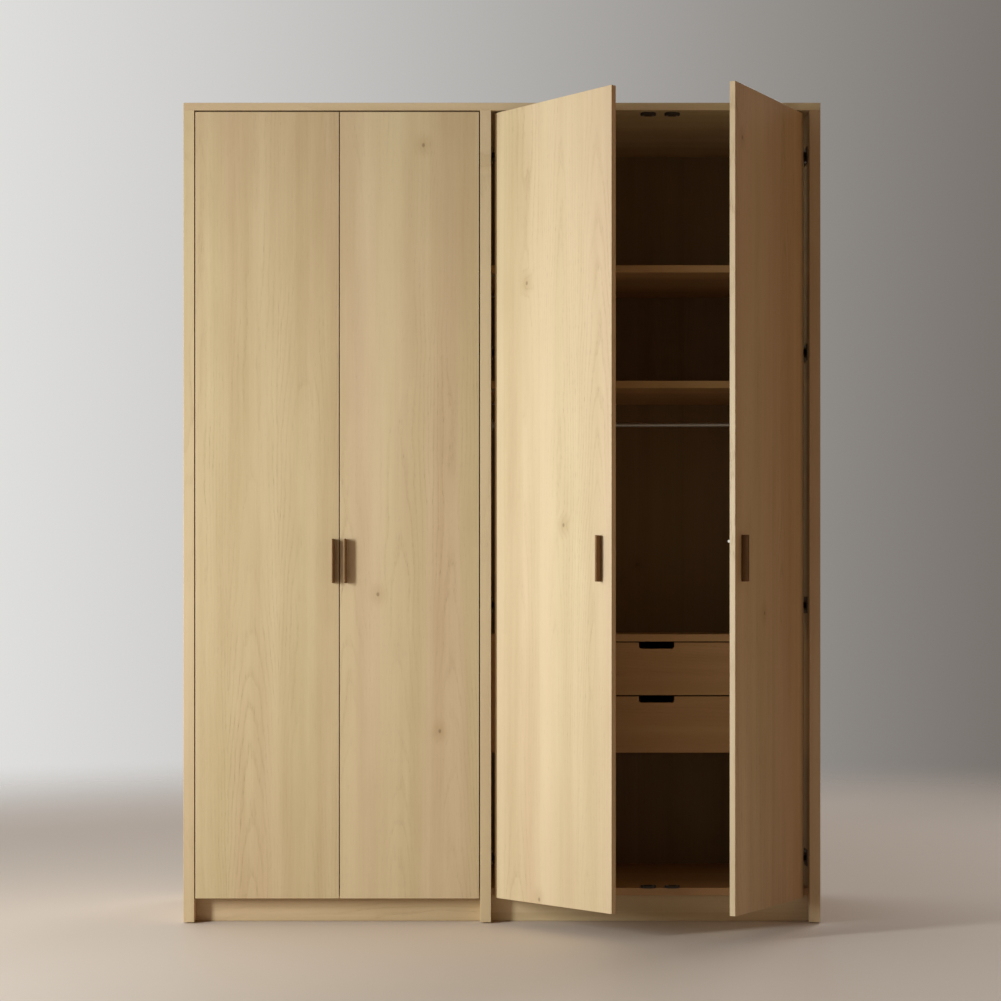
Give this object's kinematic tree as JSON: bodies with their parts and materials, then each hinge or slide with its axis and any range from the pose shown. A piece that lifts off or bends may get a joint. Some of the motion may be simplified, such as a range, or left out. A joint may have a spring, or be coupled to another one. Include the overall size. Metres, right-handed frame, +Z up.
{
  "type": "wardrobe with doors",
  "caption": "Tall oak-veneered wardrobe of two bays with flush full-height leaves on concealed hinges, shelves, hanging rails and inner drawers behind them.",
  "frame": {"origin": "on the floor, in the middle of the footprint that the carcass and the open leaves cover as stored", "axes": "+Z up, +Y from the front to the back, +X to the right as seen from the front"},
  "size_m": [1.7, 0.9313, 2.19],
  "materials": {
    "oak_veneer": "satin",
    "back_veneer": "matte",
    "drawer_box": "matte",
    "pull_bronze": "satin",
    "rail_chrome": "polished",
    "hinge_black_nickel": "satin",
    "zinc_steel": "satin",
    "dark_plastic": "matte",
    "pale_plastic": "matte"
  },
  "bodies": {
    "carcass": {"divider": "oak_veneer", "drawer_unit_base": "oak_veneer", "drawer_unit_left_cheek": "oak_veneer", "drawer_unit_left_filler": "oak_veneer", "drawer_unit_right_cheek": "oak_veneer", "drawer_unit_right_filler": "oak_veneer", "drawer_unit_runners": "zinc_steel", "drawer_unit_top": "oak_veneer", "floor_glides": "dark_plastic", "left_bay_back": "back_veneer", "left_bay_floor": "oak_veneer", "left_bay_left_hinge_arms": "hinge_black_nickel", "left_bay_plinth": "oak_veneer", "left_bay_rail": "rail_chrome", "left_bay_right_hinge_arms": "hinge_black_nickel", "left_bay_shelf": "oak_veneer", "magnetic_catches": "dark_plastic", "rail_brackets": "rail_chrome", "right_bay_back": "back_veneer", "right_bay_floor": "oak_veneer", "right_bay_left_hinge_arms": "hinge_black_nickel", "right_bay_lower_shelf": "oak_veneer", "right_bay_plinth": "oak_veneer", "right_bay_rail": "rail_chrome", "right_bay_right_hinge_arms": "hinge_black_nickel", "right_bay_upper_shelf": "oak_veneer", "shelf_pins": "zinc_steel", "side_left": "oak_veneer", "side_right": "oak_veneer", "top_board": "oak_veneer", "wall_brackets": "zinc_steel"},
    "left_bay_left_leaf": {"left_bay_left_hinge_cups": "hinge_black_nickel", "left_bay_left_leaf": "oak_veneer", "left_bay_left_pull": "pull_bronze", "left_bay_left_strike_plates": "zinc_steel"},
    "left_bay_right_leaf": {"left_bay_right_hinge_cups": "hinge_black_nickel", "left_bay_right_leaf": "oak_veneer", "left_bay_right_pull": "pull_bronze", "left_bay_right_strike_plates": "zinc_steel"},
    "right_bay_left_leaf": {"right_bay_left_hinge_cups": "hinge_black_nickel", "right_bay_left_leaf": "oak_veneer", "right_bay_left_pull": "pull_bronze", "right_bay_left_strike_plates": "zinc_steel"},
    "right_bay_right_leaf": {"right_bay_right_buffer": "pale_plastic", "right_bay_right_hinge_cups": "hinge_black_nickel", "right_bay_right_leaf": "oak_veneer", "right_bay_right_pull": "pull_bronze", "right_bay_right_strike_plates": "zinc_steel"},
    "upper_drawer": {"upper_drawer_back": "drawer_box", "upper_drawer_base": "drawer_box", "upper_drawer_front": "oak_veneer", "upper_drawer_left_side": "drawer_box", "upper_drawer_right_side": "drawer_box", "upper_drawer_runners": "zinc_steel"},
    "lower_drawer": {"lower_drawer_back": "drawer_box", "lower_drawer_base": "drawer_box", "lower_drawer_front": "oak_veneer", "lower_drawer_left_side": "drawer_box", "lower_drawer_right_side": "drawer_box", "lower_drawer_runners": "zinc_steel"}
  },
  "joints": [
    {"name": "left_bay_left_hinge", "type": "hinge", "parent": "carcass", "child": "left_bay_left_leaf", "pos_m": [-0.7955, -0.132, 1], "axis": [0, 0, -1], "range_deg": [0, 110]},
    {"name": "left_bay_right_hinge", "type": "hinge", "parent": "carcass", "child": "left_bay_right_leaf", "pos_m": [-0.0835, -0.132, 1], "axis": [0, 0, 1], "range_deg": [0, 90]},
    {"name": "right_bay_left_hinge", "type": "hinge", "parent": "carcass", "child": "right_bay_left_leaf", "pos_m": [-0.0035, -0.132, 1], "axis": [0, 0, -1], "range_deg": [-46, 44]},
    {"name": "right_bay_right_hinge", "type": "hinge", "parent": "carcass", "child": "right_bay_right_leaf", "pos_m": [0.7955, -0.132, 1], "axis": [0, 0, 1], "range_deg": [-57.7, 52.3]},
    {"name": "upper_drawer_slide", "type": "slide", "parent": "carcass", "child": "upper_drawer", "axis": [0, -1, 0], "range_m": [0, 0.12]},
    {"name": "lower_drawer_slide", "type": "slide", "parent": "carcass", "child": "lower_drawer", "axis": [0, -1, 0], "range_m": [0, 0.12]}
  ]
}
